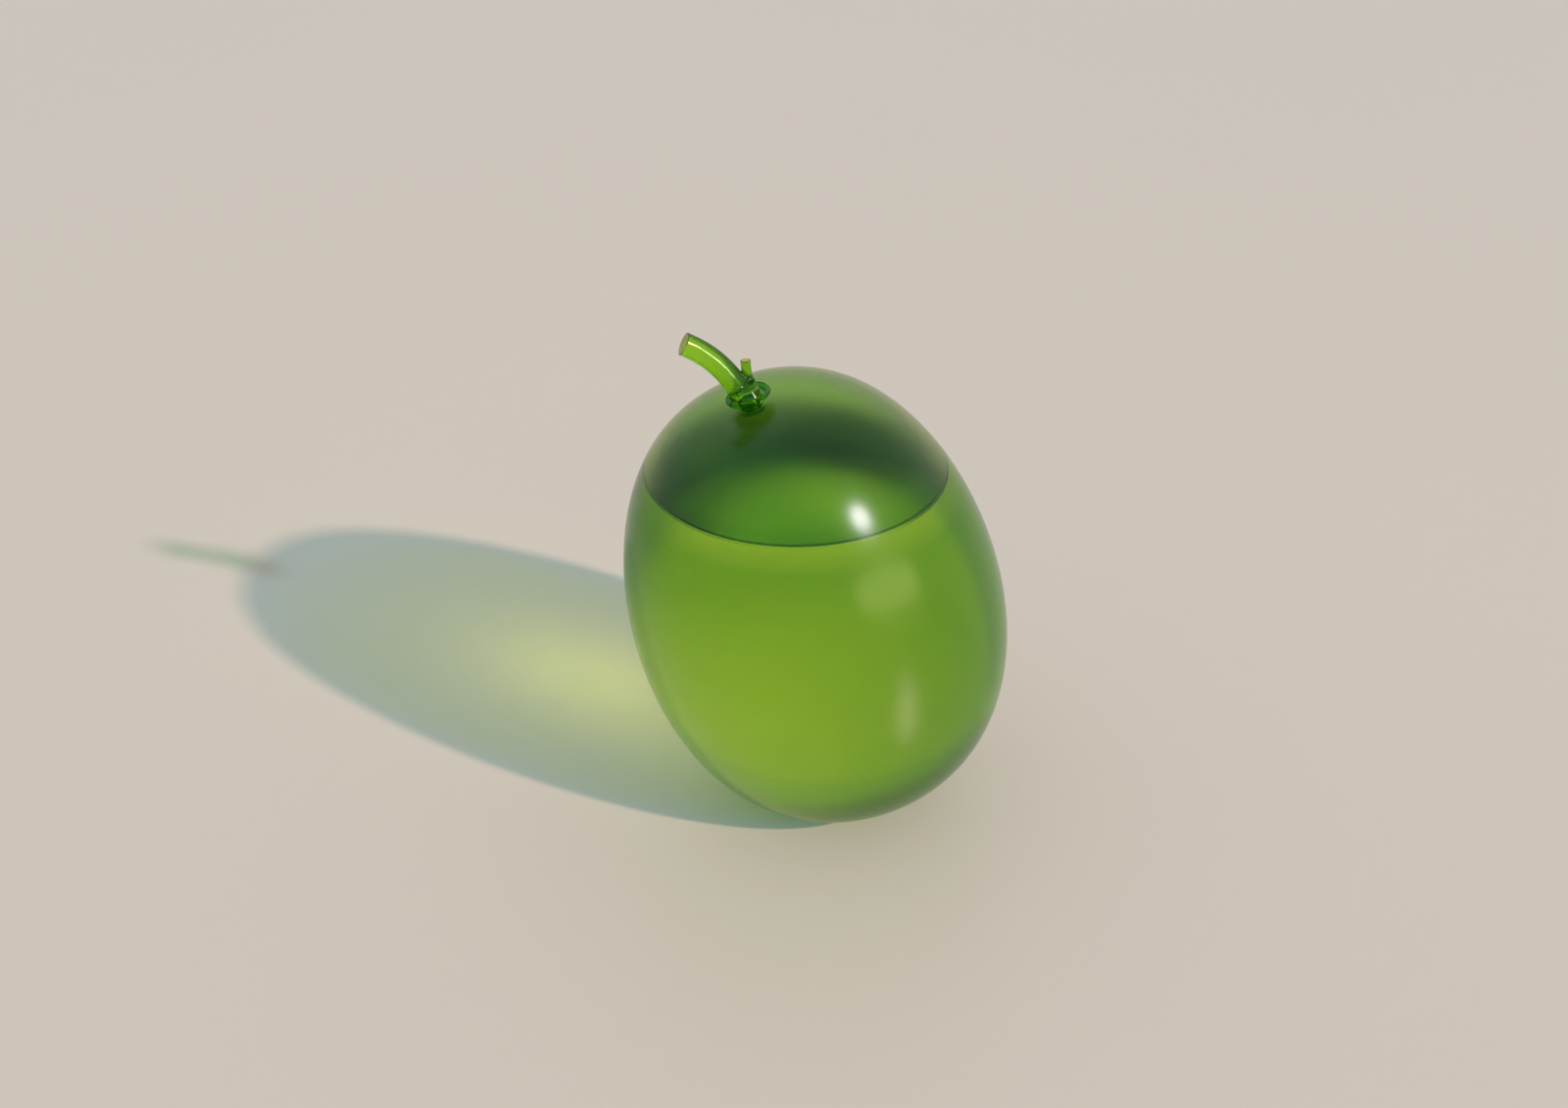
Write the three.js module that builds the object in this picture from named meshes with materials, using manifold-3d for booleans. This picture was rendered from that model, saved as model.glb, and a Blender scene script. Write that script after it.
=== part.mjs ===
// A glass olive. A thin bulb of green glass, fuller below than above, stands on a small flat spot and
// leans to one side. A clear green liquid fills it up to a level top. A flared collar sits on its
// upper end, and a short bent stem with a cut side spur stands in the collar. The stem's peg goes
// down through the collar and closes the hole that the bulb was filled through.
//
// Millimetres and degrees, +Z up. The origin is in the flat spot, on the surface that the olive
// stands on, straight below the point that would be lowest if the spot weren't cut. Around the bulb's
// own axis, heading 0 is the side that it leans to.

import * as THREE from "three";
import { mergeVertices } from "three/addons/utils/BufferGeometryUtils.js";
import Module from "manifold-3d";

// The bulb. Its outline is an ellipse whose two ends are blunter than an ellipse's.
const BULB_DIAMETER = 17.5;
const BULB_LENGTH = 22.0;
const END_BLUNTNESS = 0.672; // power of the sine: 1 is an ellipse, and less is blunter
const LOWER_FULLNESS = 0.054; // how much wider the lower half is than the upper, as a share
const SIDE_FLATNESS = 0.019; // how much the ends lose to the middle, as a share
const GLASS_WALL = 0.3;

// How it stands.
const LEAN = 15.63;
const LEAN_HEADING = 194.4; // anticlockwise from +X
const SPOT_DEPTH = 0.26; // what the flat spot takes off the bottom

// The liquid.
const AIR_SPACE = 3.9; // height from the liquid's top up to the highest glass above it
const LIQUID_CLEARANCE = 0.05;

// The collar on the upper end.
const COLLAR_DIAMETER = 2.02;
const COLLAR_HEIGHT = 0.52;
const COLLAR_FOOT_DIAMETER = 1.26;
const COLLAR_RIM = 0.1; // thickness of its edge
const COLLAR_DISH = 0.14; // how far the dish round the stem lies below the edge

// The stem.
const STEM_DIAMETER = 1.05;
const STEM_LENGTH = 3.88; // along its curve, above the foot
const STEM_SETOVER = 0.25; // of its lower end from the bulb's axis, towards its heading
const STEM_START_TILT = 5.5; // from the bulb's axis
const STEM_END_TILT = 47.5;
const STEM_HEADING = -7.4;
const STEM_FOOT_DIAMETER = 1.32;
const STEM_FOOT_HEIGHT = 0.75; // over which the foot narrows to the stem
const PEG_DIAMETER = 0.8;
const PEG_REACH = 0.05; // how far the peg stands out below the glass

// The cut side spur on the stem.
const SPUR_DIAMETER = 0.46;
const SPUR_LENGTH = 1.4;
const SPUR_TILT = 12.7;
const SPUR_HEADING = -156;
const SPUR_SETOVER = 0.17; // of its root from the bulb's axis
const SPUR_SETOVER_HEADING = -131;
const SPUR_ROOT_SWELL = 1.7; // times its diameter, where it leaves the stem

// Clearances between pieces.
const SEAT_CLEARANCE = 0.05; // between faces that rest on each other
const PEG_CLEARANCE = 0.05; // all round the peg, in the collar and in the glass

// How finely the round shapes are cut into facets.
const BULB_FACETS = { around: 56, along: 36 };
const INNER_FACETS = { around: 44, along: 26 };
const COLLAR_FACETS = 32;
const STEM_FACETS = { around: 20, along: 18 };
const SPUR_FACETS = 14;

const wasm = await Module();
wasm.setup();

const radians = THREE.MathUtils.degToRad;

// ---- Solids and booleans ----

/** A closed geometry as a solid, with its shared vertices merged. */
function solidOf(geometry) {
  const bare = geometry.clone();
  bare.deleteAttribute("normal");
  bare.deleteAttribute("uv");
  const merged = mergeVertices(bare, 1e-4);
  return new wasm.Manifold(
    new wasm.Mesh({
      numProp: 3,
      vertProperties: merged.attributes.position.array,
      triVerts: new Uint32Array(merged.index.array),
    }),
  );
}

/** A solid as a geometry with normals. */
function geometryOf(solid) {
  const { vertProperties, triVerts } = solid.getMesh();
  const geometry = new THREE.BufferGeometry();
  geometry.setAttribute("position", new THREE.BufferAttribute(vertProperties, 3));
  geometry.setIndex(new THREE.BufferAttribute(triVerts, 1));
  geometry.computeVertexNormals();
  return geometry;
}

/** A profile of [radius, height] points, turned round the Z axis. */
function lathe(profile, around) {
  const points = profile.map(([radius, height]) => new THREE.Vector2(radius, height));
  return new THREE.LatheGeometry(points, around).rotateX(Math.PI / 2);
}

// ---- The bulb's outline ----

/** Half the bulb's width at an angle from its upper end, before it is brought to its diameter. */
function outlineWidth(angle) {
  const swell = 1 - LOWER_FULLNESS * Math.cos(angle) - SIDE_FLATNESS * Math.cos(2 * angle);
  return Math.sin(angle) ** END_BLUNTNESS * swell;
}

const SAMPLES = 720;
const angles = Array.from({ length: SAMPLES - 1 }, (_, i) => (Math.PI * (i + 1)) / SAMPLES);
const widest = Math.max(...angles.map(outlineWidth));

/** The outline's [radius, height] at an angle, from the bulb's centre. */
function outlinePoint(angle) {
  const radius = ((BULB_DIAMETER / 2) * outlineWidth(angle)) / widest;
  return [radius, (BULB_LENGTH / 2) * Math.cos(angle)];
}

/** The same point moved straight in from the surface by a depth. */
function insetPoint(angle, depth) {
  const step = Math.PI / SAMPLES / 4;
  const [radius, height] = outlinePoint(angle);
  const [radiusBefore, heightBefore] = outlinePoint(angle - step);
  const [radiusAfter, heightAfter] = outlinePoint(angle + step);
  const alongRadius = radiusAfter - radiusBefore;
  const alongHeight = heightAfter - heightBefore;
  const length = Math.hypot(alongRadius, alongHeight);
  return [radius + (depth * alongHeight) / length, height - (depth * alongRadius) / length];
}

/** The egg-shaped solid a depth inside the bulb's outside, upright and centred. */
function egg(depth, facets) {
  const end = BULB_LENGTH / 2 - depth;
  const profile = [[0, -end]];
  for (let i = facets.along - 1; i > 0; i--) {
    profile.push(insetPoint((Math.PI * i) / facets.along, depth));
  }
  profile.push([0, end]);
  return lathe(profile, facets.around);
}

// ---- How the bulb stands ----

/** The outline's lowest point once it leans: how far below its centre, and how far to the side. */
function lowestPoint() {
  const sin = Math.sin(radians(LEAN));
  const cos = Math.cos(radians(LEAN));
  const leaning = angles.map((angle) => {
    const [radius, height] = outlinePoint(angle);
    return { below: radius * sin - height * cos, aside: radius * cos + height * sin };
  });
  return leaning.reduce((lowest, point) => (point.below > lowest.below ? point : lowest));
}

/** The group that leans as the bulb does, with its origin at the bulb's centre. */
function makeLeaningGroup() {
  const { below, aside } = lowestPoint();
  const heading = radians(LEAN_HEADING);
  const group = new THREE.Group();
  group.position.set(-aside * Math.cos(heading), -aside * Math.sin(heading), below - SPOT_DEPTH);
  group.rotation.set(0, radians(LEAN), heading, "ZYX");
  group.updateMatrixWorld(true);
  return group;
}

const leaning = makeLeaningGroup();

/** Everything between two heights above the surface, as a solid. */
function slab(low, high) {
  const side = 4 * (BULB_LENGTH + BULB_DIAMETER);
  const box = new THREE.BoxGeometry(side, side, high - low);
  return solidOf(box.translate(0, 0, (low + high) / 2));
}

/** The hollow inside the glass, or what lies a clearance inside that hollow. */
function hollow(clearance) {
  const inside = solidOf(egg(GLASS_WALL + clearance, INNER_FACETS).applyMatrix4(leaning.matrixWorld));
  return inside.intersect(slab(GLASS_WALL + clearance, 2 * BULB_LENGTH));
}

// ---- The pieces ----

/** A named mesh with its own material. */
function piece(name, geometry, colour, roughness, opacity) {
  const material = new THREE.MeshStandardMaterial({
    color: colour,
    roughness,
    metalness: 0,
    opacity,
    transparent: true,
  });
  const mesh = new THREE.Mesh(geometry, material);
  mesh.name = name;
  return mesh;
}

/** The glass shell, with its flat spot, its hollow and the filling hole in its upper end. */
function makeBulb() {
  const outside = solidOf(egg(0, BULB_FACETS).applyMatrix4(leaning.matrixWorld));
  const standing = outside.intersect(slab(0, 2 * BULB_LENGTH));
  const holeRadius = PEG_DIAMETER / 2 + PEG_CLEARANCE;
  const holeLength = 4 * GLASS_WALL;
  const hole = new THREE.CylinderGeometry(holeRadius, holeRadius, holeLength, COLLAR_FACETS);
  hole.rotateX(Math.PI / 2).translate(0, 0, (BULB_LENGTH - GLASS_WALL) / 2);
  const holeSolid = solidOf(hole.applyMatrix4(leaning.matrixWorld));
  const shell = standing.subtract(hollow(0)).subtract(holeSolid);
  return piece("bulb", geometryOf(shell), 0x5c8a26, 0.2, 0.6);
}

/** The liquid, level on top and a clearance inside the glass. */
function makeLiquid() {
  const top = hollow(0).boundingBox().max[2];
  const liquid = hollow(LIQUID_CLEARANCE).intersect(slab(0, top - AIR_SPACE));
  return piece("liquid_fill", geometryOf(liquid), 0x6f9a2a, 0.05, 0.7);
}

/** The heights that the collar and the stem share, above the bulb's upper end. */
const collarFoot = SEAT_CLEARANCE;
const collarTop = collarFoot + COLLAR_HEIGHT;
const dishFloor = collarTop - COLLAR_DISH;

/** The flared ring: a foot on the glass, a spreading side, a thin edge and a shallow dish. */
function makeCollar() {
  const bore = PEG_DIAMETER / 2 + PEG_CLEARANCE;
  const foot = COLLAR_FOOT_DIAMETER / 2;
  const edge = COLLAR_DIAMETER / 2;
  const underEdge = collarTop - COLLAR_RIM;
  const footHollow = new THREE.Vector2(foot, collarFoot + 0.6 * (underEdge - collarFoot));
  const side = new THREE.QuadraticBezierCurve(
    new THREE.Vector2(foot, collarFoot),
    footHollow,
    new THREE.Vector2(edge, underEdge),
  );
  const dish = new THREE.QuadraticBezierCurve(
    new THREE.Vector2(edge, collarTop),
    new THREE.Vector2(edge - COLLAR_RIM, dishFloor),
    new THREE.Vector2(STEM_FOOT_DIAMETER / 2, dishFloor),
  );
  const profile = [[bore, collarFoot]];
  profile.push(...side.getPoints(6).map((point) => [point.x, point.y]));
  profile.push([edge + COLLAR_RIM / 4, (underEdge + collarTop) / 2]);
  profile.push(...dish.getPoints(5).map((point) => [point.x, point.y]));
  profile.push([bore, dishFloor]);
  profile.push([bore, collarFoot]);
  const collar = piece("collar", lathe(profile, COLLAR_FACETS), 0x1f6a12, 0.12, 0.75);
  collar.position.z = BULB_LENGTH / 2;
  return collar;
}

/** A unit vector at a tilt from the bulb's axis and a heading round it. */
function direction(tilt, heading) {
  return new THREE.Vector3().setFromSphericalCoords(1, radians(tilt), radians(90 + heading))
    .applyAxisAngle(new THREE.Vector3(1, 0, 0), Math.PI / 2);
}

/** The stem's foot and the peg below it. */
function stemFoot() {
  const peg = PEG_DIAMETER / 2;
  const foot = STEM_FOOT_DIAMETER / 2;
  const floor = dishFloor + SEAT_CLEARANCE;
  const narrowing = new THREE.QuadraticBezierCurve(
    new THREE.Vector2(foot, floor),
    new THREE.Vector2(STEM_DIAMETER / 2, floor + STEM_FOOT_HEIGHT / 3),
    new THREE.Vector2(STEM_DIAMETER / 2, floor + STEM_FOOT_HEIGHT),
  );
  const pegEnd = -GLASS_WALL - PEG_REACH;
  const profile = [[0, pegEnd], [peg, pegEnd], [peg, floor]];
  profile.push(...narrowing.getPoints(5).map((point) => [point.x, point.y]));
  profile.push([0, floor + STEM_FOOT_HEIGHT]);
  return solidOf(lathe(profile, STEM_FACETS.around));
}

/** The bent rod, from inside the foot to its flat cut end. */
function stemRod() {
  const turn = radians(STEM_END_TILT - STEM_START_TILT);
  const reach = (STEM_LENGTH / turn) * Math.tan(turn / 2);
  const start = direction(90, STEM_HEADING).multiplyScalar(STEM_SETOVER);
  start.z = dishFloor + 2 * SEAT_CLEARANCE;
  const bend = start.clone().addScaledVector(direction(STEM_START_TILT, STEM_HEADING), reach);
  const end = bend.clone().addScaledVector(direction(STEM_END_TILT, STEM_HEADING), reach);
  const section = new THREE.Shape().absarc(0, 0, STEM_DIAMETER / 2, 0, 2 * Math.PI, false);
  const rod = new THREE.ExtrudeGeometry(section, {
    steps: STEM_FACETS.along,
    curveSegments: STEM_FACETS.around,
    extrudePath: new THREE.QuadraticBezierCurve3(start, bend, end),
  });
  return solidOf(rod);
}

/** The side spur, swollen at its root and cut flat. */
function stemSpur() {
  const radius = SPUR_DIAMETER / 2;
  const swell = new THREE.QuadraticBezierCurve(
    new THREE.Vector2(radius * SPUR_ROOT_SWELL, 0),
    new THREE.Vector2(radius, SPUR_LENGTH * 0.25),
    new THREE.Vector2(radius, SPUR_LENGTH * 0.5),
  );
  const profile = [[0, 0], ...swell.getPoints(5).map((point) => [point.x, point.y])];
  profile.push([radius, SPUR_LENGTH], [0, SPUR_LENGTH]);
  const along = direction(SPUR_TILT, SPUR_HEADING);
  const turn = new THREE.Quaternion().setFromUnitVectors(new THREE.Vector3(0, 0, 1), along);
  const root = direction(90, SPUR_SETOVER_HEADING).multiplyScalar(SPUR_SETOVER);
  root.z = dishFloor + SEAT_CLEARANCE + radius;
  const spur = lathe(profile, SPUR_FACETS).applyQuaternion(turn);
  return solidOf(spur.translate(root.x, root.y, root.z));
}

/** The stem, grown in one with its foot, its peg and its spur. */
function makeStem() {
  const stem = piece(
    "stem",
    geometryOf(stemFoot().add(stemRod()).add(stemSpur())),
    0x4f9a1e,
    0.1,
    0.75,
  );
  stem.position.z = BULB_LENGTH / 2;
  return stem;
}

leaning.add(makeCollar(), makeStem());
const olive = new THREE.Group();
olive.add(makeBulb(), makeLiquid(), leaning);

export default olive;
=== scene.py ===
"""A glass olive, part filled with a clear green liquid, leaning on a small flat spot.

The thin bulb, the liquid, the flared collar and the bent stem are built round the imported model, in
its own frame. Shapes are made in millimetres in the bulb's own upright frame, where +Z is the bulb's
axis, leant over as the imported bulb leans, and brought to metres last.
"""

import logging
import math
from dataclasses import dataclass
from enum import Enum
from typing import Optional, Union

import bmesh
import bpy
from bmesh.types import BMEdge, BMesh, BMFace
from mathutils import Matrix, Vector


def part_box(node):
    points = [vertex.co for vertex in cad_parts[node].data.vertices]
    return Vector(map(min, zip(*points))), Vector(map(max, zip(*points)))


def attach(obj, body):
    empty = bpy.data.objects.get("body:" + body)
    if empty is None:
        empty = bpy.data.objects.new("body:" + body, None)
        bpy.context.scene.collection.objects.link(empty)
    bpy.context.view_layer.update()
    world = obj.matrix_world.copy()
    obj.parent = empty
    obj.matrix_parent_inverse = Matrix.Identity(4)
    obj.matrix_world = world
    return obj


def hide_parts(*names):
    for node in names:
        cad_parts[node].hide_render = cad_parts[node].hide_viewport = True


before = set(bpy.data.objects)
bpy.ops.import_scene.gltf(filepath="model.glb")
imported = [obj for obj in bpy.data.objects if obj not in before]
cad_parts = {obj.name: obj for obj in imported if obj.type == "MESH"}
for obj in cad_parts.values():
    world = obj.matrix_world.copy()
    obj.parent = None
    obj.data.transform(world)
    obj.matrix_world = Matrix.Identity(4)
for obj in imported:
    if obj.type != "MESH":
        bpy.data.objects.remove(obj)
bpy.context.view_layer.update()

LOG = logging.getLogger("olive")
MM = 0.001
FLOOR_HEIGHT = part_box("bulb")[0].z / MM
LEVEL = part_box("liquid_fill")[1].z / MM
MENISCUS = 0.08  # mm, how far the liquid creeps up the glass
TOP_MARGIN = 0.02  # mm, how far below its top the liquid still counts as its top
# Painted shade: a dark line is painted round the inner wall just above the liquid's edge.
PAINTED_LINE_HEIGHT = 0.085  # mm, the dark line that the liquid's edge draws on the glass
MERGE = 1e-5  # mm, below which two points are one
RIM_MERGE = 0.06  # mm, the same along the edge of a cut
ON_PLANE = 1e-4  # mm, how near a point of a cut is to the cut's plane
QUAD = 4  # the corners of a face of a curved surface, where a cut's flat face has more
UP = Vector((0.0, 0.0, 1.0))

Point = tuple[float, float]
Triple = tuple[float, float, float]
Colour = Triple


# ---- Shader graphs ----


class Signal:
    """A shader socket that takes part in Python arithmetic, as Math nodes."""

    def __init__(self, graph: "Graph", socket: bpy.types.NodeSocket) -> None:
        """Wraps an output socket of a graph."""
        self.graph = graph
        self.socket = socket

    def _math(self, operation: str, first: "Input", second: "Input") -> "Signal":
        """One Math node on two numbers."""
        return self.graph.node("ShaderNodeMath", {"operation": operation}, {0: first, 1: second})

    def __add__(self, other: "Input") -> "Signal":
        """This plus another."""
        return self._math("ADD", self, other)

    def __radd__(self, other: "Input") -> "Signal":
        """Another plus this."""
        return self._math("ADD", other, self)

    def __sub__(self, other: "Input") -> "Signal":
        """This less another."""
        return self._math("SUBTRACT", self, other)

    def __rsub__(self, other: "Input") -> "Signal":
        """Another less this."""
        return self._math("SUBTRACT", other, self)

    def __mul__(self, other: "Input") -> "Signal":
        """This times another."""
        return self._math("MULTIPLY", self, other)

    def __rmul__(self, other: "Input") -> "Signal":
        """Another times this."""
        return self._math("MULTIPLY", other, self)


Tint = Union[Signal, Colour]
Input = Union[Signal, float, Triple, tuple[float, float, float, float]]


class Graph:
    """The node graph of one material."""

    def __init__(self, name: str) -> None:
        """Makes an empty material.

        Args:
            name: The material's name.
        """
        self.material = bpy.data.materials.new(name)
        self.material.use_nodes = True
        self.tree = self.material.node_tree
        self.tree.nodes.clear()

    def node(
        self,
        kind: str,
        settings: Optional[dict[str, object]] = None,
        inputs: Optional[dict[Union[str, int], Input]] = None,
        output: Union[str, int] = 0,
    ) -> Signal:
        """Adds a node.

        Args:
            kind: The node's type.
            settings: What the node is set to, such as an operation, set before its sockets.
            inputs: The value or the link of each socket that is used.
            output: The output that is handed back.

        Returns:
            The chosen output.
        """
        made = self.tree.nodes.new(kind)
        for key, value in (settings or {}).items():
            setattr(made, key, value)
        for key, value in (inputs or {}).items():
            if isinstance(value, Signal):
                self.tree.links.new(value.socket, made.inputs[key])
            else:
                made.inputs[key].default_value = value
        return Signal(self, made.outputs[output])

    def object_coords(self) -> Signal:
        """The piece's own coordinates, in metres."""
        return self.node("ShaderNodeTexCoord", output="Object")

    def noise(self, per_mm: float, detail: float = 2.0) -> Signal:
        """Soft noise over the piece.

        Args:
            per_mm: How many of its swells fit in a millimetre.
            detail: How many finer layers it has.

        Returns:
            The noise, from 0 to 1.
        """
        inputs = {"Vector": self.object_coords(), "Scale": per_mm / MM, "Detail": detail}
        return self.node("ShaderNodeTexNoise", {"noise_dimensions": "3D"}, inputs, "Fac")

    def distance(self, centre: Triple, axes: Triple) -> Signal:
        """How far a point of the piece is from a centre.

        Args:
            centre: The centre, in mm.
            axes: How much each axis counts.

        Returns:
            The distance, in mm.
        """
        kind = "ShaderNodeVectorMath"
        middle = tuple(part * MM for part in centre)
        away = self.node(kind, {"operation": "SUBTRACT"}, {0: self.object_coords(), 1: middle})
        scaled = self.node(kind, {"operation": "MULTIPLY"}, {0: away, 1: axes})
        return self.node(kind, {"operation": "LENGTH"}, {0: scaled}, "Value") * (1 / MM)

    def clamp(self, value: Signal) -> Signal:
        """A number held between 0 and 1."""
        return self.node("ShaderNodeClamp", None, {"Value": value})

    def lets_lamps_through(self) -> Signal:
        """Picks out the light that a lamp sends straight through the glass to what lies outside it.

        Returns:
            1 for that light, and 0 for all other.
        """
        lamp_ray = self.node("ShaderNodeLightPath", output="Is Shadow Ray")
        walls = self.node("ShaderNodeLightPath", output="Transmission Depth")
        inside = self.node("ShaderNodeMath", {"operation": "MODULO"}, {0: walls, 1: 2.0})
        return lamp_ray * (1.0 - inside)

    def height(self) -> Signal:
        """The height of a point of the piece, in mm."""
        return self.node("ShaderNodeSeparateXYZ", None, {"Vector": self.object_coords()}, "Z") * (1 / MM)

    def above(self, height: float) -> Signal:
        """1 on the part of the piece that lies above a height in mm, and 0 below it."""
        return self.node("ShaderNodeMath", {"operation": "GREATER_THAN"}, {0: self.height(), 1: height})

    def blend(self, share: Signal, first: Tint, second: Tint) -> Signal:
        """A colour between two, by a share from 0 to 1."""
        ends = [end if isinstance(end, Signal) else (*end, 1.0) for end in (first, second)]
        return self.node("ShaderNodeMix", {"data_type": "RGBA"}, {0: share, 6: ends[0], 7: ends[1]}, 2)

    def bump(self, height: Signal, depth_mm: float) -> Signal:
        """A bumped normal, where a height of 1 stands a depth proud."""
        inputs = {"Height": height, "Strength": 1.0, "Distance": depth_mm * MM}
        return self.node("ShaderNodeBump", None, inputs)

    def finish(self, surface: Signal, volume: Optional[Signal] = None) -> bpy.types.Material:
        """Puts shaders on the material's surface and inside it.

        Args:
            surface: The surface's shader.
            volume: The shader inside, if it has one.

        Returns:
            The material.
        """
        output = self.tree.nodes.new("ShaderNodeOutputMaterial")
        self.tree.links.new(surface.socket, output.inputs["Surface"])
        if volume is not None:
            self.tree.links.new(volume.socket, output.inputs["Volume"])
        return self.material


# ---- Finishes ----

CLOUD_DETAIL = 3.0
GRAIN_PER_MM = 6.0
GRAIN_DETAIL = 4.0
GRAIN_SHARE = 0.2  # of a ripple's height
MOTTLE_PER_MM = 0.01
PITS_PER_MM = 0.4
PITS_DEPTH = 0.01  # mm


@dataclass(frozen=True)
class Fade:
    """Where a finish turns from its tint to its deep tint, which paints light and shade on the bulb and on
    the liquid's top.

    Attributes:
        centre: The point that it turns round, in mm.
        near: The distance up to which it keeps its tint, in mm.
        far: The distance from which it has its deep tint, in mm.
        axes: How much each axis counts in that distance.
        top: The height in mm above which it keeps its tint everywhere.
        softness: How far below that the deep tint starts in full, in mm.
        clouds: How much soft clouds move that, as a share.
        clouds_per_mm: How fine the clouds are.
    """

    centre: Triple = (0.0, 0.0, 10.0)
    near: float = 4.0
    far: float = 14.0
    axes: Triple = (1.0, 1.0, 1.0)
    top: Optional[float] = None
    softness: float = 3.0
    clouds: float = 0.5
    clouds_per_mm: float = 0.12

    def share(self, graph: Graph) -> Signal:
        """Makes the share of the deep tint.

        Args:
            graph: The material's graph.

        Returns:
            The share, from 0 to 1.
        """
        distance = graph.distance(self.centre, self.axes)
        ramp = (distance - self.near) * (1 / (self.far - self.near))
        clouds = (graph.noise(self.clouds_per_mm, CLOUD_DETAIL) - 0.5) * self.clouds
        share = graph.clamp(ramp + clouds)
        if self.top is None:
            return share
        return share * graph.clamp((self.top - graph.height()) * (1 / self.softness))


@dataclass(frozen=True)
class GlassFinish:
    """Clear tinted glass, or another clear material.

    Attributes:
        name: The material's name.
        tint: The colour that light takes at its surface.
        deep_tint_and_painted_shade: Its darker colour: painted shade on the bulb and on the liquid's top,
            and a deeper tone of its own elsewhere.
        roughness: How frosted it is, from 0.
        frost: How much the frosting varies.
        refraction: Its index of refraction against what lies outside the surface.
        shade: The colour of the light that it lets through to what lies in its shadow.
        fade: Where it turns from its tint to that darker colour; on the bulb this paints light and shade,
            and on the liquid's top it paints shade.
        dry_above: The height in mm below which it touches another clear thing and doesn't show.
        ripple_per_mm: How fine its ripples are.
        ripple_depth: How deep its ripples are, in mm.
        clear: The share of the light that it lets through rather than scatters.
        gloss: The tint of what it reflects.
        painted_line_top: The height in mm below which a dark line of painted shade runs round it, where it
            meets a liquid.
        painted_line_tint: The painted line's colour.
        dye: The colour that it keeps over a long way through it.
        dye_per_mm: How fast it takes the other colours, per mm, or 0 for none.
    """

    name: str
    tint: Colour
    deep_tint_and_painted_shade: Colour
    roughness: float
    frost: float
    refraction: float
    shade: Colour = (1.0, 1.0, 1.0)
    fade: Fade = Fade()
    dry_above: Optional[float] = None
    ripple_per_mm: float = 0.25
    ripple_depth: float = 0.01
    clear: float = 1.0
    gloss: Colour = (1.0, 1.0, 1.0)
    painted_line_top: Optional[float] = None
    painted_line_tint: Colour = (0.1, 0.2, 0.05)
    dye: Colour = (1.0, 1.0, 1.0)
    dye_per_mm: float = 0.0

    def material(self) -> bpy.types.Material:
        """Makes the material.

        Returns:
            Glass, open to lamps, and open too below the height where it is dry.
        """
        graph = Graph(self.name)
        grain = graph.noise(GRAIN_PER_MM, GRAIN_DETAIL)
        swells = graph.noise(self.ripple_per_mm, 1.0) * (1 - GRAIN_SHARE)
        ripples = swells + grain * GRAIN_SHARE * self.frost
        # On the bulb and on the liquid's top, this blend paints light and shade into the colour.
        colour = graph.blend(self.fade.share(graph), self.tint, self.deep_tint_and_painted_shade)
        # Painted shade: a dark line painted round the glass where the liquid meets it.
        if self.painted_line_top is not None:
            colour = graph.blend(graph.above(self.painted_line_top), self.painted_line_tint, colour)
        inputs: dict[Union[str, int], Input] = {
            "Base Color": colour,
            "Roughness": self.roughness * (1.0 - self.frost / 2) + grain * (self.roughness * self.frost),
            "Normal": graph.bump(ripples, self.ripple_depth),
            "IOR": self.refraction,
            "Transmission Weight": self.clear,
            "Specular Tint": (*self.gloss, 1.0),
        }
        glass = graph.node("ShaderNodeBsdfPrincipled", {}, inputs)
        opening = graph.node("ShaderNodeBsdfTransparent", {}, {"Color": (*self.shade, 1.0)})
        share = graph.lets_lamps_through()
        if self.dry_above is not None:
            share = 1.0 - graph.above(self.dry_above) * (1.0 - share)
        surface = graph.node("ShaderNodeMixShader", {}, {0: share, 1: glass, 2: opening})
        if not self.dye_per_mm:
            return graph.finish(surface)
        dye = {"Color": (*self.dye, 1.0), "Density": self.dye_per_mm / MM}
        return graph.finish(surface, graph.node("ShaderNodeVolumeAbsorption", {}, dye))


@dataclass(frozen=True)
class PlasterFinish:
    """The pale matt surface that the olive stands on.

    Attributes:
        name: The material's name.
        light: Its lighter colour.
        dark: Its darker colour.
        roughness: How matt it is, up to 1.
    """

    name: str
    light: Colour
    dark: Colour
    roughness: float

    def material(self) -> bpy.types.Material:
        """Makes the material.

        Returns:
            Plaster, faintly mottled and pitted.
        """
        graph = Graph(self.name)
        inputs: dict[Union[str, int], Input] = {
            "Base Color": graph.blend(graph.noise(MOTTLE_PER_MM, CLOUD_DETAIL), self.light, self.dark),
            "Roughness": self.roughness,
            "Normal": graph.bump(graph.noise(PITS_PER_MM, CLOUD_DETAIL), PITS_DEPTH),
        }
        return graph.finish(graph.node("ShaderNodeBsdfPrincipled", {}, inputs))


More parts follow.
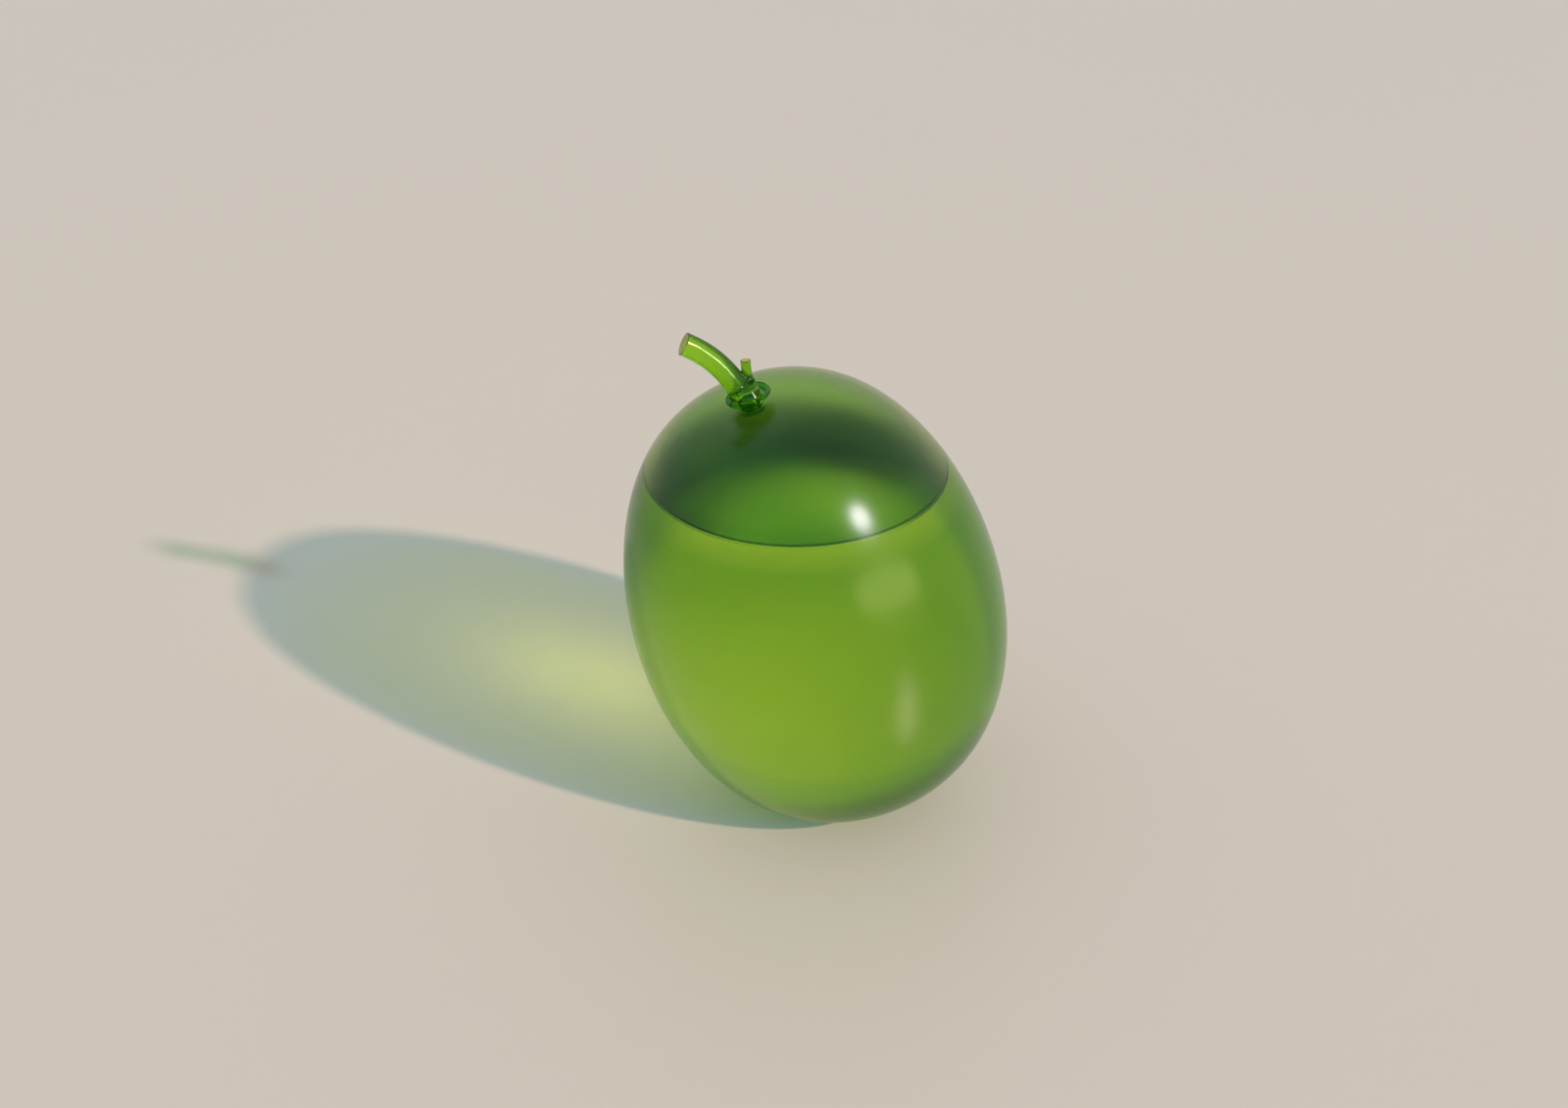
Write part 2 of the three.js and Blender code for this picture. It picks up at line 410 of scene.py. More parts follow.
class Finish(Enum):
    """The finishes of the olive and of the surface below it."""

    FROSTED_GLASS = GlassFinish(
        "frosted_glass",
        tint=(0.66, 0.93, 0.18),
        deep_tint_and_painted_shade=(0.17, 0.45, 0.015),
        roughness=0.2,
        frost=0.1,
        refraction=1.45,
        shade=(0.38, 0.64, 0.69),
        gloss=(0.43, 0.92, 0.87),
        # Painted light and shade: brighter and yellower round a point low on the left, where the lamp's
        # light gathers through the glass, and darker away from it below the liquid's level.
        fade=Fade(
            (-1.0, 0.0, 7.5), 2.0, 9.3, axes=(1.0, 0.0, 1.0), top=LEVEL + 1.0, softness=2.0, clouds=0.2
        ),
    )
    INNER_GLASS = GlassFinish(
        "inner_glass",
        tint=(0.62, 0.88, 0.44),
        deep_tint_and_painted_shade=(0.56, 0.86, 0.4),
        roughness=0.2,
        frost=0.1,
        refraction=1.45,
        gloss=(0.05, 0.1, 0.05),
        dry_above=LEVEL + MENISCUS,
        # Painted shade: the dark line painted round the inner wall at the liquid's edge.
        painted_line_top=LEVEL + MENISCUS + PAINTED_LINE_HEIGHT,
    )
    LIQUID = GlassFinish(
        "liquid",
        tint=(0.75, 1.0, 0.7),
        deep_tint_and_painted_shade=(0.01, 0.05, 0.05),
        roughness=0.3,
        frost=0.1,
        refraction=1.36,
        gloss=(0.1, 0.3, 0.1),
        # Painted shade: the liquid's top turns nearly black towards its back, away from a point in front
        # of it.
        fade=Fade((0.5, -6.0, 17.7), 2.5, 7.5, clouds=0.1),
        dry_above=LEVEL - TOP_MARGIN,
        dye=(0.77, 0.89, 0.03),
        dye_per_mm=0.11,
    )
    COLLAR_GLASS = GlassFinish(
        "collar_glass",
        tint=(0.12, 0.6, 0.02),
        deep_tint_and_painted_shade=(0.05, 0.4, 0.01),
        roughness=0.04,
        frost=0.3,
        refraction=1.45,
        shade=(0.3, 0.6, 0.3),
        gloss=(0.4, 0.8, 0.25),
        fade=Fade((0.0, 0.0, 22.0), 2.0, 4.0, clouds=1.0, clouds_per_mm=1.0),
        ripple_per_mm=1.2,
        ripple_depth=0.03,
    )
    STEM_GLASS = GlassFinish(
        "stem_glass",
        tint=(0.36, 0.78, 0.02),
        deep_tint_and_painted_shade=(0.14, 0.48, 0.01),
        roughness=0.14,
        frost=0.2,
        refraction=1.5,
        shade=(0.4, 0.7, 0.4),
        gloss=(0.6, 0.85, 0.5),
        fade=Fade((-5.4, -1.0, 24.8), 1.0, 4.2, clouds=0.4, clouds_per_mm=0.6),
        ripple_per_mm=0.8,
        ripple_depth=0.015,
    )
    CUT_GLASS = GlassFinish(
        "cut_glass",
        tint=(0.66, 0.7, 0.06),
        deep_tint_and_painted_shade=(0.5, 0.56, 0.03),
        roughness=0.3,
        frost=0.2,
        refraction=1.5,
        shade=(0.4, 0.7, 0.4),
        clear=0.3,
        gloss=(0.3, 0.4, 0.1),
        fade=Fade((-3.0, -1.0, 22.0), 2.0, 4.0, clouds=1.0, clouds_per_mm=1.5),
    )
    PLASTER = PlasterFinish("plaster", (0.64, 0.58, 0.5), (0.6, 0.545, 0.47), 0.4)


# ---- Mesh helpers ----


def turned(profile: list[Point], steps: int) -> BMesh:
    """Turns a profile round the Z axis.

    Args:
        profile: Points as (radius, height), in mm.
        steps: How many steps go round.

    Returns:
        The surface, closed where the profile meets the axis or itself.
    """
    mesh = bmesh.new()
    points = [mesh.verts.new((radius, 0.0, height)) for radius, height in profile]
    for pair in zip(points, points[1:]):
        mesh.edges.new(pair)
    bmesh.ops.spin(
        mesh,
        geom=mesh.verts[:] + mesh.edges[:],
        cent=(0, 0, 0),
        axis=UP,
        angle=math.tau,
        steps=steps,
        use_merge=True,
    )
    bmesh.ops.remove_doubles(mesh, verts=mesh.verts[:], dist=MERGE)
    bmesh.ops.recalc_face_normals(mesh, faces=mesh.faces[:])
    return mesh


def cut_flat(mesh: BMesh, point: Vector, away: Vector) -> list[BMFace]:
    """Cuts a surface off at a plane and closes it with a flat face.

    Args:
        mesh: The surface.
        point: A point of the plane.
        away: The plane's normal, on the side that is cut off.

    Returns:
        The flat faces.
    """
    everything = mesh.verts[:] + mesh.edges[:] + mesh.faces[:]
    bmesh.ops.bisect_plane(
        mesh, geom=everything, dist=MERGE, plane_co=point, plane_no=away, clear_outer=True
    )
    level = [vert for vert in mesh.verts if abs((vert.co - point).dot(away)) < ON_PLANE]
    bmesh.ops.remove_doubles(mesh, verts=level, dist=RIM_MERGE)
    rim = [
        edge
        for edge in mesh.edges
        if edge.is_boundary and all(abs((vert.co - point).dot(away)) < ON_PLANE for vert in edge.verts)
    ]
    for edge in rim:
        edge.smooth = False
    return bmesh.ops.edgeloop_fill(mesh, edges=rim)["faces"]


def quadratic(start: Point, control: Point, end: Point, count: int) -> list[Point]:
    """Points of a quadratic curve, with both ends.

    Args:
        start: Where it starts.
        control: The point that it bends towards.
        end: Where it ends.
        count: How many steps it has.

    Returns:
        The points.
    """
    curve: list[Point] = []
    for step in range(count + 1):
        share = step / count
        weights = ((1 - share) ** 2, 2 * share * (1 - share), share**2)
        three = (start, control, end)
        curve.append(tuple(sum(w * p[i] for w, p in zip(weights, three)) for i in (0, 1)))
    return curve


def make_piece(
    name: str, mesh: BMesh, placing: Matrix, finishes: list[Finish], node: str
) -> bpy.types.Object:
    """Makes a finished mesh a piece of the olive, in metres and in place.

    Args:
        name: The piece's name.
        mesh: Its mesh in mm, which is freed.
        placing: Where its own frame stands, in mm.
        finishes: Its finishes, in the order of its faces' material numbers.
        node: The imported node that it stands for.

    Returns:
        The piece.
    """
    bmesh.ops.transform(mesh, matrix=Matrix.Scale(MM, 4) @ placing, verts=mesh.verts[:])
    data = bpy.data.meshes.new(name)
    mesh.to_mesh(data)
    mesh.free()
    piece = bpy.data.objects.new(name, data)
    bpy.context.scene.collection.objects.link(piece)
    for finish in finishes:
        data.materials.append(finish.value.material())
    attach(piece, "root")
    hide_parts(node)
    LOG.info("%s: %d faces, for %s", name, len(data.polygons), node)
    return piece


# ---- The bulb's outline and how it stands ----

WIDTH_STEPS = 720
SMALL_ANGLE = 1e-3
HOLE_MARGIN = 1.2  # of a hole's radius, inside which an outline has no more points
PLACING_STEPS = 96


@dataclass(frozen=True)
class Outline:
    """The bulb's outline: an ellipse with blunter ends, wider below its middle.

    Attributes:
        diameter: Across its widest part, in mm.
        length: Along its axis, in mm.
        bluntness: The power of the sine, where 1 is an ellipse and less is blunter.
        lower_fullness: How much wider the lower half is, as a share.
        side_flatness: How much the ends lose to the middle, as a share.
    """

    diameter: float = 17.5
    length: float = 22.0
    bluntness: float = 0.672
    lower_fullness: float = 0.054
    side_flatness: float = 0.019

    def _width(self, angle: float) -> float:
        """Half the width at an angle from the upper end, before it is brought to size."""
        swell = 1 - self.lower_fullness * math.cos(angle) - self.side_flatness * math.cos(2 * angle)
        return math.sin(angle) ** self.bluntness * swell

    def widest(self) -> float:
        """The largest of those widths."""
        return max(self._width(math.pi * step / WIDTH_STEPS) for step in range(1, WIDTH_STEPS))

    def point(self, angle: float, widest: float) -> Point:
        """The outline at an angle, as (radius, height) from the bulb's centre, in mm."""
        radius = self.diameter / 2 * self._width(angle) / widest
        return radius, self.length / 2 * math.cos(angle)

    def profile(self, depth: float, hole: float, steps: int) -> list[Point]:
        """The outline moved in from the surface, from its upper end to its lower one.

        Args:
            depth: How far in it is moved, in mm.
            hole: The radius at which it starts, or 0 to start on the axis.
            steps: How many steps there are between the ends.

        Returns:
            The profile's points.
        """
        widest = self.widest()
        end = self.length / 2 - depth
        points = [(hole, end)]
        for step in range(1, steps):
            angle = math.pi * step / steps
            radius, height = self.point(angle, widest)
            before = self.point(angle - SMALL_ANGLE, widest)
            after = self.point(angle + SMALL_ANGLE, widest)
            along = Vector((after[0] - before[0], after[1] - before[1])).normalized()
            inset = (radius + depth * along.y, height - depth * along.x)
            if inset[0] > hole * HOLE_MARGIN:
                points.append(inset)
        points.append((0.0, -end))
        return points


@dataclass(frozen=True)
class Stance:
    """How the bulb stands.

    Attributes:
        lean: The lean of its axis from upright, in degrees.
        heading: Where it leans to, in degrees anticlockwise from +X.
    """

    lean: float = 15.63
    heading: float = 194.4

    def turn(self) -> Matrix:
        """Turns the bulb's upright frame so that its axis leans."""
        heading = Matrix.Rotation(math.radians(self.heading), 4, "Z")
        return heading @ Matrix.Rotation(math.radians(self.lean), 4, "Y")

    def placing(self, outline: Outline) -> Matrix:
        """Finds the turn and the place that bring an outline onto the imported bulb.

        Args:
            outline: The outline.

        Returns:
            The turn and the place, in mm.
        """
        mesh = turned(outline.profile(0.0, 0.0, PLACING_STEPS), PLACING_STEPS)
        bmesh.ops.transform(mesh, matrix=self.turn(), verts=mesh.verts[:])
        low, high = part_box("bulb")
        shift = Vector()
        for axis in range(3):
            least = min(vert.co[axis] for vert in mesh.verts)
            most = max(vert.co[axis] for vert in mesh.verts)
            packed = (low[axis] + high[axis]) / 2 / MM
            shift[axis] = packed - (least + most) / 2 if axis < 2 else high[axis] / MM - most
        mesh.free()
        return Matrix.Translation(shift) @ self.turn()


OUTLINE = Outline()
PLACING = Stance().placing(OUTLINE)
BULB_END = OUTLINE.length / 2


# ---- The olive's pieces ----


@dataclass
class Bulb:
    """The thin glass shell.

    Attributes:
        wall: The glass's thickness, in mm.
        hole: The filling hole's radius, in mm.
        around: The facets round it.
        along: The facets from end to end.
    """

    wall: float = 0.3
    hole: float = 0.45
    around: int = 160
    along: int = 110

    def build(self) -> bpy.types.Object:
        """Makes the shell: the outside with its flat spot, the inner wall and the hole's edge.

        Returns:
            The shell.
        """
        mesh = turned(OUTLINE.profile(0.0, self.hole, self.along), self.around)
        bmesh.ops.transform(mesh, matrix=PLACING, verts=mesh.verts[:])
        cut_flat(mesh, Vector((0, 0, FLOOR_HEIGHT)), -UP)
        bmesh.ops.recalc_face_normals(mesh, faces=mesh.faces[:])
        outer = set(mesh.faces[:])
        bmesh.ops.solidify(mesh, geom=mesh.faces[:], thickness=self.wall)
        for face in mesh.faces:
            face.smooth = len(face.verts) <= QUAD
            face.material_index = int(face not in outer)
        finishes = [Finish.FROSTED_GLASS, Finish.INNER_GLASS]
        return make_piece("glass_bulb", mesh, Matrix.Identity(4), finishes, "bulb")


@dataclass
class Liquid:
    """The liquid, level on top, with a rim where it creeps up the glass.

    Attributes:
        inset: How deep below the glass's outside its own side lies, in mm.
        creep: How wide its rim is, as a share of how far it creeps up.
        rim_steps: The steps of its rim.
        around: The facets round it.
        along: The facets from end to end.
    """

    inset: float = 0.29
    creep: float = 2.5
    rim_steps: int = 6
    around: int = 160
    along: int = 90

    def build(self) -> bpy.types.Object:
        """Makes the liquid's body and its top.

        Returns:
            The liquid.
        """
        mesh = turned(OUTLINE.profile(self.inset, 0.0, self.along), self.around)
        bmesh.ops.transform(mesh, matrix=PLACING, verts=mesh.verts[:])
        cut_flat(mesh, Vector((0, 0, FLOOR_HEIGHT + self.inset)), -UP)
        top = cut_flat(mesh, Vector((0, 0, LEVEL + MENISCUS)), UP)
        bmesh.ops.recalc_face_normals(mesh, faces=mesh.faces[:])
        for face in mesh.faces:
            face.smooth = len(face.verts) <= QUAD
        width = MENISCUS * self.creep / self.rim_steps
        for step in range(self.rim_steps):
            left = 1 - step / self.rim_steps
            sink = MENISCUS * (left**2 - (left - 1 / self.rim_steps) ** 2)
            ring = bmesh.ops.inset_region(mesh, faces=top, thickness=width, depth=-sink)
            for face in ring["faces"]:
                face.smooth = True
        for edge in {edge for face in top for edge in face.edges}:
            edge.smooth = False
        finishes = [Finish.LIQUID]
        return make_piece("green_liquid", mesh, Matrix.Identity(4), finishes, "liquid_fill")


@dataclass
class Collar:
    """The flared ring round the stem's foot, with a thin, slightly wavy edge.

    Attributes:
        diameter: Across its edge, in mm.
        height: From its foot to its edge, in mm.
        foot: Across its foot, in mm.
        bore: The radius of the hole that the peg goes through, in mm.
        rim: The thickness of its edge, in mm.
        dish: How far the dish lies below the edge, in mm.
        dish_floor: The radius of the dish's flat floor, in mm.
        seat: The gap below its foot, in mm.
        flare_start: How far up its side the flare starts, as a share.
        wave: How far its edge waves up and down, in mm.
        around: The facets round it.
    """

    diameter: float = 2.02
    height: float = 0.52
    foot: float = 1.26
    bore: float = 0.45
    rim: float = 0.1
    dish: float = 0.14
    dish_floor: float = 0.66
    seat: float = 0.05
    flare_start: float = 0.6
    wave: float = 0.035
    around: int = 96

    def profile(self) -> list[Point]:
        """Draws the ring's section.

        Returns:
            Its points, from the bore round to itself.
        """
        edge = self.diameter / 2
        top = self.seat + self.height
        under = top - self.rim
        floor = top - self.dish
        foot = self.foot / 2
        bend = self.seat + self.flare_start * (under - self.seat)
        side = quadratic((foot, self.seat), (foot, bend), (edge, under), 14)
        lip = quadratic((edge, under), (edge + self.rim / 2, (under + top) / 2), (edge, top), 6)
        inside = quadratic((edge, top), (edge - self.rim, floor), (self.dish_floor, floor), 12)
        start = (self.bore, self.seat)
        return [start, *side, *lip[1:], *inside[1:], (self.bore, floor), start]

    def _wave(self, place: Vector) -> Vector:
        """Finds how far a point of the ring is moved to make it wavy.

        Args:
            place: The point.

        Returns:
            The move.
        """
        angle = math.atan2(place.y, place.x)
        past_foot = place.xy.length - self.foot / 2
        share = max(0.0, past_foot / (self.diameter - self.foot) * 2)
        lift = math.sin(3 * angle + 0.6) + 0.6 * math.sin(5 * angle + 2.1) + 0.35 * math.sin(8 * angle)
        return UP * (self.wave * lift * share / 2)

    def build(self) -> bpy.types.Object:
        """Makes the collar.

        Returns:
            The collar.
        """
        mesh = turned(self.profile(), self.around)
        for vert in mesh.verts:
            vert.co += self._wave(vert.co)
        for face in mesh.faces:
            face.smooth = True
        placing = PLACING @ Matrix.Translation((0, 0, BULB_END))
        return make_piece("glass_collar", mesh, placing, [Finish.COLLAR_GLASS], "collar")


@dataclass
class Stem:
    """The bent glass rod with its foot, its peg and its cut side spur, grown in one.

    Attributes:
        radius: The rod's radius, in mm.
        length: Along its bend, in mm.
        setover: How far its lower end stands from the bulb's axis, in mm.
        start_tilt: Its tilt from the bulb's axis where it leaves the foot, in degrees.
        end_tilt: Its tilt at its cut end, in degrees.
        heading: Where it bends to, in degrees round the bulb's axis.
        base: The height of the foot's underside above the bulb's end, in mm.
        foot_radius: The foot's radius, in mm.
        foot_edge: The height of the foot's widest part above its underside, in mm.
        foot_bend: The height towards which the foot narrows, above its underside, in mm.
        foot_height: The height at which it has narrowed to the rod, above its underside, in mm.
        peg_radius: The peg's radius, in mm.
        peg_end: The height of the peg's lower end, in mm.
        spur_radius: The spur's radius, in mm.
        spur_length: The spur's length, in mm.
        spur_tilt: The spur's tilt from the bulb's axis, in degrees.
        spur_heading: Where the spur tilts to, in degrees.
        spur_root: Where the spur starts, in mm.
        spur_flare: How much wider the spur is at its root, as a ratio.
        lip: The width of the rounded edge round its cut ends, in mm.
        rod_reach: How near the rod's end its skin is cut, in radii.
        spur_reach: How near the spur's end its skin is cut, in radii.
        spare: How far the rod and the spur run past their cut ends before they are cut, in mm.
        root: The height at which the rod starts in the foot, above its underside, in mm.
        around: The facets round the rod.
        spur_around: The facets round the spur.
        bends: The steps of the rod's bend.
        grain: The size of the cells that join the shapes, in mm.
        smoothing: How often the joined skin is smoothed.
    """

    radius: float = 0.525
    length: float = 3.88
    setover: float = 0.25
    start_tilt: float = 5.5
    end_tilt: float = 47.5
    heading: float = -7.4
    base: float = 0.48
    foot_radius: float = 0.66
    foot_edge: float = 0.12
    foot_bend: float = 0.3
    foot_height: float = 0.75
    peg_radius: float = 0.4
    peg_end: float = -0.35
    spur_radius: float = 0.23
    spur_length: float = 1.4
    spur_tilt: float = 12.7
    spur_heading: float = -156.0
    spur_root: Triple = (-0.112, -0.128, 0.71)
    spur_flare: float = 1.9
    lip: float = 0.05
    rod_reach: float = 1.6
    spur_reach: float = 1.9
    spare: float = 0.25
    root: float = 0.05
    around: int = 48
    spur_around: int = 32
    bends: int = 60
    grain: float = 0.03
    smoothing: int = 8

    def _direction(self, tilt: float, heading: float) -> Vector:
        """Finds a unit vector.

        Args:
            tilt: Its tilt from the bulb's axis, in degrees.
            heading: Its heading round the axis, in degrees.

        Returns:
            The vector.
        """
        tilt, heading = math.radians(tilt), math.radians(heading)
        across = math.sin(tilt)
        return Vector((across * math.cos(heading), across * math.sin(heading), math.cos(tilt)))

    def _rod(self) -> tuple[BMesh, Vector, Vector]:
        """Makes the bent rod.

        Returns:
            The rod, and its end's middle and direction.
        """
        start_way = self._direction(self.start_tilt, self.heading)
        bend_way = self._direction(self.start_tilt + 90, self.heading)
        turn = math.radians(self.end_tilt - self.start_tilt)
        bend = self.length / turn
        start = self._direction(90, self.heading) * self.setover + UP * (self.base + self.root)
        centre = start + bend_way * bend
        hinge = start_way.cross(bend_way).normalized()
        mesh = bmesh.new()
        facing = UP.rotation_difference(start_way).to_matrix().to_4x4()
        bmesh.ops.create_circle(
            mesh,
            segments=self.around,
            radius=self.radius,
            cap_ends=True,
            matrix=Matrix.Translation(start) @ facing,
        )
        bmesh.ops.spin(
            mesh,
            geom=mesh.faces[:] + mesh.edges[:],
            cent=centre,
            axis=hinge,
            angle=turn + self.spare / bend,
            steps=self.bends,
            use_merge=False,
        )
        end = centre + Matrix.Rotation(turn, 4, hinge) @ (start - centre)
        return mesh, end, self._direction(self.end_tilt, self.heading)

    def _foot(self) -> BMesh:
        """Makes the foot, narrowing to the rod, and the peg below it.

        Returns:
            The foot.
        """
        top = self.base + self.foot_height
        widest = (self.foot_radius, self.base + self.foot_edge)
        narrowing = quadratic(widest, (self.radius, self.base + self.foot_bend), (self.radius, top), 10)
        lip = quadratic((self.peg_radius, self.base), (self.foot_radius, self.base), widest, 4)
        peg = [(0.0, self.peg_end), (self.peg_radius, self.peg_end)]
        return turned([*peg, *lip, *narrowing, (0.0, top)], self.around)

    def _spur(self) -> tuple[BMesh, Vector, Vector]:
        """Makes the spur.

        Returns:
            The spur, and its end's middle and direction.
        """
        swell = quadratic(
            (self.spur_radius * self.spur_flare, 0.0),
            (self.spur_radius, self.spur_length * 0.3),
            (self.spur_radius, self.spur_length * 0.6),
            8,
        )
        over = self.spur_length + self.spare
        mesh = turned([(0.0, 0.0), *swell, (self.spur_radius, over), (0.0, over)], self.spur_around)
        way = self._direction(self.spur_tilt, self.spur_heading)
        turn = UP.rotation_difference(way).to_matrix().to_4x4()
        root = Vector(self.spur_root)
        bmesh.ops.transform(mesh, matrix=Matrix.Translation(root) @ turn, verts=mesh.verts[:])
        return mesh, root + way * self.spur_length, way

    def _grown(self, shapes: list[BMesh]) -> BMesh:
        """Joins closed shapes into one skin with soft fillets.

        Args:
            shapes: The shapes, which are freed.

        Returns:
            The skin.
        """
        data = bpy.data.meshes.new("stem_parts")
        joined = bmesh.new()
        for shape in shapes:
            bmesh.ops.recalc_face_normals(shape, faces=shape.faces[:])
            shape.to_mesh(data)
            joined.from_mesh(data)
            shape.free()
        joined.to_mesh(data)
        joined.free()
        source = bpy.data.objects.new("stem_parts", data)
        bpy.context.scene.collection.objects.link(source)
        cells = source.modifiers.new("cells", "REMESH")
        cells.mode = "VOXEL"
        cells.voxel_size = self.grain
        smooth = source.modifiers.new("smooth", "SMOOTH")
        smooth.iterations = self.smoothing
        smooth.factor = 0.5
        shaped = source.evaluated_get(bpy.context.evaluated_depsgraph_get())
        grown = bmesh.new()
        grown.from_mesh(shaped.to_mesh())
        shaped.to_mesh_clear()
        bpy.data.objects.remove(source)
        bpy.data.meshes.remove(data)
        return grown

    def _cut_end(self, mesh: BMesh, end: Vector, way: Vector, reach: float) -> None:
        """Cuts a rod off square near its end and rounds the cut's edge a little.

        Args:
            mesh: The skin that the rod is part of.
            end: The middle of the cut.
            way: The rod's direction there.
            reach: How far from the end the skin is cut, in mm.
        """
        near = [vert for vert in mesh.verts if (vert.co - end).length < reach]
        faces = {face for vert in near for face in vert.link_faces}
        geom = list(faces) + list({part for face in faces for part in (*face.verts, *face.edges)})
        cut = bmesh.ops.bisect_plane(
            mesh, geom=geom, dist=MERGE, plane_co=end, plane_no=way, clear_outer=True
        )
        rim = [part for part in cut["geom_cut"] if isinstance(part, BMEdge)]
        flat = bmesh.ops.edgeloop_fill(mesh, edges=rim)["faces"]
        bmesh.ops.inset_region(mesh, faces=flat, thickness=self.lip, depth=self.lip / 4)
        for face in flat:
            face.material_index = 1
        for edge in {edge for face in flat for edge in face.edges}:
            edge.smooth = False

    def build(self) -> bpy.types.Object:
        """Makes the stem.

        Returns:
            The stem.
        """
        rod, rod_end, rod_way = self._rod()
        spur, spur_end, spur_way = self._spur()
        mesh = self._grown([rod, self._foot(), spur])
        self._cut_end(mesh, rod_end, rod_way, self.radius * self.rod_reach)
        self._cut_end(mesh, spur_end, spur_way, self.spur_radius * self.spur_reach)
        bmesh.ops.recalc_face_normals(mesh, faces=mesh.faces[:])
        for face in mesh.faces:
            face.smooth = len(face.verts) <= QUAD + 1
        placing = PLACING @ Matrix.Translation((0, 0, BULB_END))
        finishes = [Finish.STEM_GLASS, Finish.CUT_GLASS]
        return make_piece("glass_stem", mesh, placing, finishes, "stem")


# ---- The surface, the light and the camera ----


@dataclass(frozen=True)
class Lamp:
    """A lamp that lights only chosen things.

    Attributes:
        name: Its name.
        heading: Where it stands, in degrees anticlockwise from +X.
        height: How high it stands, in degrees.
        strength: Its strength, or its power in watts if it is a panel.
        colour: Its colour.
        spread: How wide it looks, in degrees, if it is as far off as the sun.
        panel: Its width and height in mm, if it is a panel.
        distance: How far off a panel stands, in mm.
        glossy: Whether things reflect it.
    """

    name: str
    heading: float
    height: float
    strength: float
    colour: Colour
    spread: float = 2.0
    panel: Optional[tuple[float, float]] = None
    distance: float = 400.0
    glossy: bool = True

    def build(self, lit: list[bpy.types.Object]) -> None:
        """Makes the lamp.

        Args:
            lit: The things that it lights.
        """
        lamp = bpy.data.lights.new(self.name, "AREA" if self.panel else "SUN")
        lamp.energy = self.strength
        lamp.color = self.colour
        if self.panel:
            lamp.shape = "ELLIPSE"
            lamp.size, lamp.size_y = (side * MM for side in self.panel)
        else:
            lamp.angle = math.radians(self.spread)
        heading, height = math.radians(self.heading), math.radians(self.height)
        towards = Vector(
            (math.cos(height) * math.cos(heading), math.cos(height) * math.sin(heading), math.sin(height))
        )
        holder = bpy.data.objects.new(self.name, lamp)
        holder.location = towards * (self.distance * MM)
        holder.rotation_euler = towards.to_track_quat("Z", "Y").to_euler()
        bpy.context.scene.collection.objects.link(holder)
        receivers = bpy.data.collections.new(f"{self.name}_receivers")
        for thing in lit:
            receivers.objects.link(thing)
        holder.light_linking.receiver_collection = receivers
        if self.panel:
            holder.light_linking.blocker_collection = receivers
            holder.visible_transmission = False
        holder.visible_glossy = self.glossy


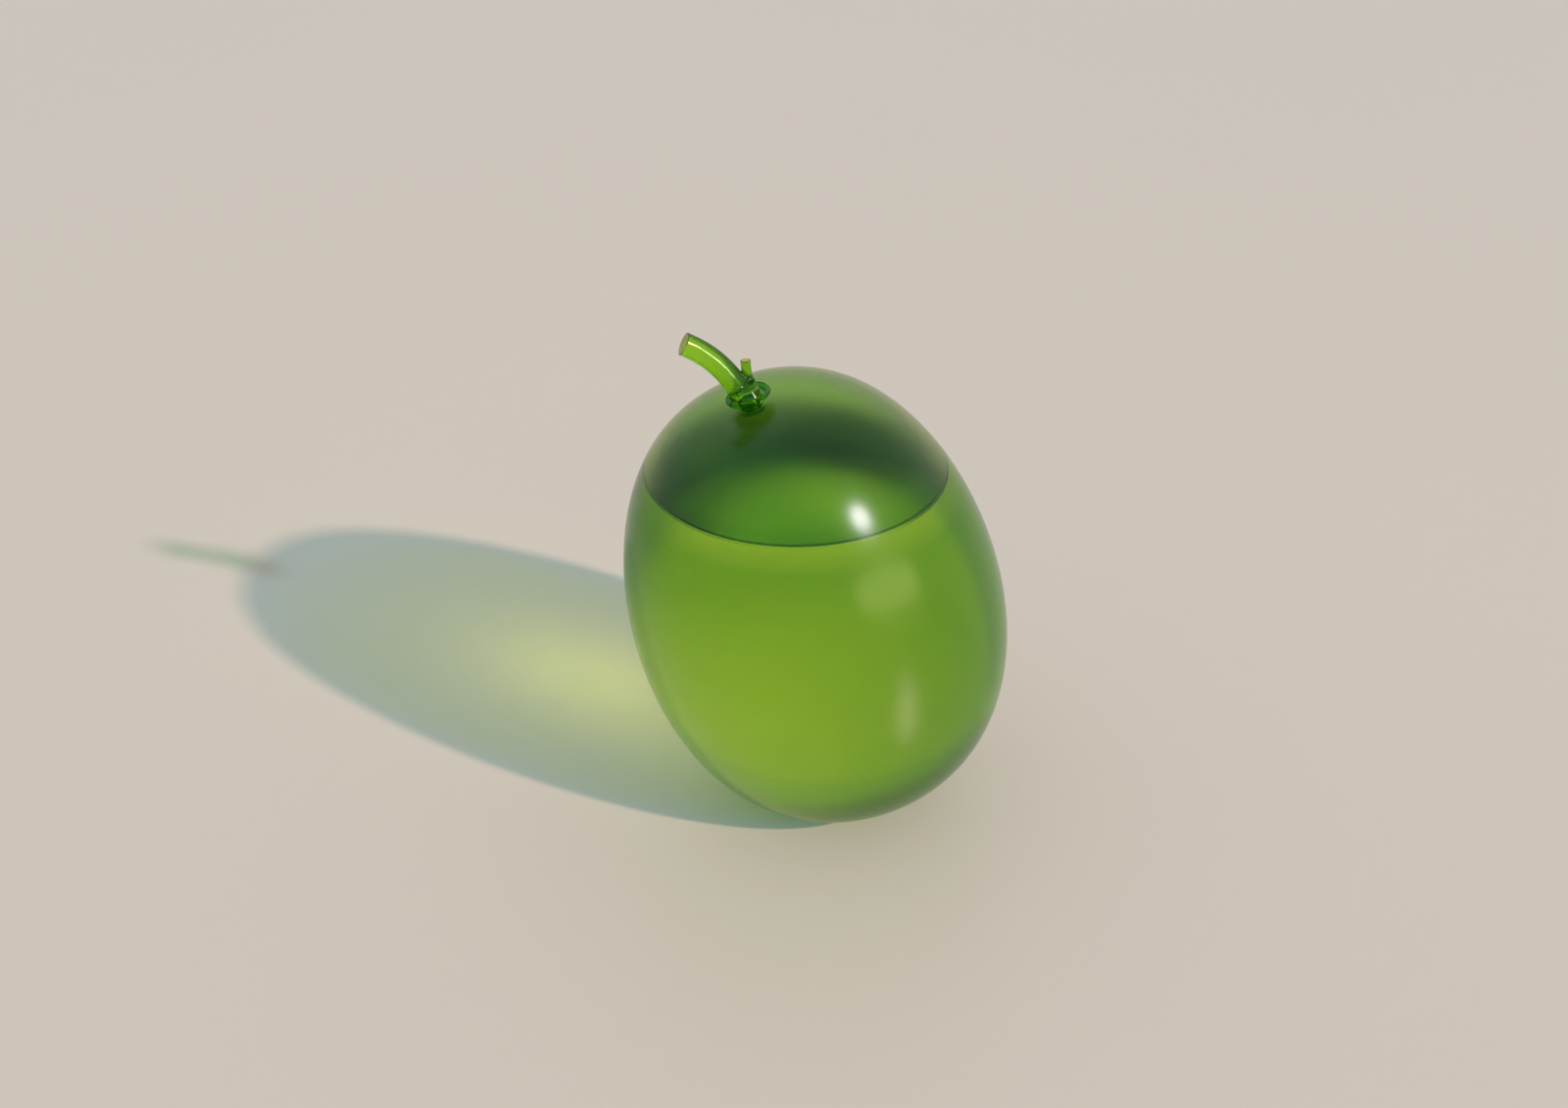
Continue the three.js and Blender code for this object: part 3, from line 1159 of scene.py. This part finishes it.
@dataclass
class Studio:
    """A plain pale surface, soft daylight all round, one low lamp, soft panels and the camera.

    Attributes:
        floor_size: The surface's side, in mm.
        sky: The strength of the light all round.
        sky_colour: Its colour.
        sun: The low lamp, as it lights the surface.
        glint: The same lamp, as the glass shows it.
        strip: The tall soft lamp that the stem shows.
        haze: The wide faint lamp that the bulb shows.
        glow: The low lamp's glare on the surface, as the bulb shows it.
        camera_place: Where the camera stands, in mm.
        camera_pitch: How far it looks down, in degrees.
        lens: The camera's lens, in mm.
        sensor: The width of the camera's sensor, in mm.
        depth: The nearest and the farthest distance that the camera shows, in mm.
        bounces: How often light is followed through glass.
        openings: How many open surfaces light is followed through.
    """

    floor_size: float = 3000.0
    sky: float = 0.5
    sky_colour: Colour = (0.94, 0.99, 1.1)
    sun: Lamp = Lamp("sun", -35.25, 32.23, 3.0, (1.06, 1.0, 0.9), 2.0, glossy=False)
    glint: Lamp = Lamp("glint", -35.25, 32.23, 1.75, (1.6, 0.67, 0.82), 12.0)
    strip: Lamp = Lamp("strip", -34.0, 14.0, 1.0, (1.0, 1.0, 0.8), panel=(60.0, 220.0))
    haze: Lamp = Lamp("haze", -37.0, 6.0, 0.27, (2.4, 1.06, 0.44), panel=(300.0, 120.0))
    glow: Lamp = Lamp("glow", -36.0, -33.0, 0.11, (2.5, 1.06, 0.94), panel=(55.0, 160.0))
    camera_place: Triple = (-1.052, -84.713, 67.315)
    camera_pitch: float = 32.53
    lens: float = 49.5
    sensor: float = 36.0
    depth: tuple[float, float] = (1.0, 10000.0)
    bounces: int = 20
    openings: int = 64

    def build_floor(self) -> bpy.types.Object:
        """Makes the surface.

        Returns:
            The surface.
        """
        mesh = bmesh.new()
        bmesh.ops.create_grid(mesh, x_segments=1, y_segments=1, size=self.floor_size / 2 * MM)
        data = bpy.data.meshes.new("floor")
        mesh.to_mesh(data)
        mesh.free()
        data.materials.append(Finish.PLASTER.value.material())
        floor = bpy.data.objects.new("floor", data)
        bpy.context.scene.collection.objects.link(floor)
        return floor

    def build_sky(self) -> None:
        """Makes the light all round."""
        world = bpy.data.worlds.new("studio")
        world.use_nodes = True
        background = world.node_tree.nodes["Background"]
        background.inputs["Color"].default_value = (*self.sky_colour, 1.0)
        background.inputs["Strength"].default_value = self.sky
        bpy.context.scene.world = world

    def build_camera(self) -> None:
        """Makes the camera and sets how far light is followed."""
        camera = bpy.data.cameras.new("camera")
        camera.lens = self.lens
        camera.sensor_width = self.sensor
        camera.clip_start, camera.clip_end = (distance * MM for distance in self.depth)
        holder = bpy.data.objects.new("camera", camera)
        holder.location = Vector(self.camera_place) * MM
        holder.rotation_euler = (math.radians(90 - self.camera_pitch), 0.0, 0.0)
        scene = bpy.context.scene
        scene.collection.objects.link(holder)
        scene.camera = holder
        scene.view_settings.view_transform = "Standard"
        scene.cycles.max_bounces = self.bounces
        scene.cycles.transmission_bounces = self.bounces
        scene.cycles.transparent_max_bounces = self.openings
        scene.cycles.use_denoising = True

    def build(self, bulb: bpy.types.Object, liquid: bpy.types.Object, top: list[bpy.types.Object]) -> None:
        """Makes the whole studio.

        Args:
            bulb: The glass shell.
            liquid: The liquid in it.
            top: The collar and the stem.
        """
        self.build_sky()
        self.sun.build([self.build_floor()])
        self.glint.build([bulb, liquid, *top])
        self.strip.build(top)
        self.haze.build([bulb])
        self.glow.build([bulb])
        self.build_camera()


def main() -> None:
    """Builds the studio and the olive."""
    logging.basicConfig(level=logging.INFO, format="%(name)s %(message)s")
    bulb, liquid, *top = [part.build() for part in (Bulb(), Liquid(), Collar(), Stem())]
    Studio().build(bulb, liquid, top)


if __name__ == "__main__":
    main()
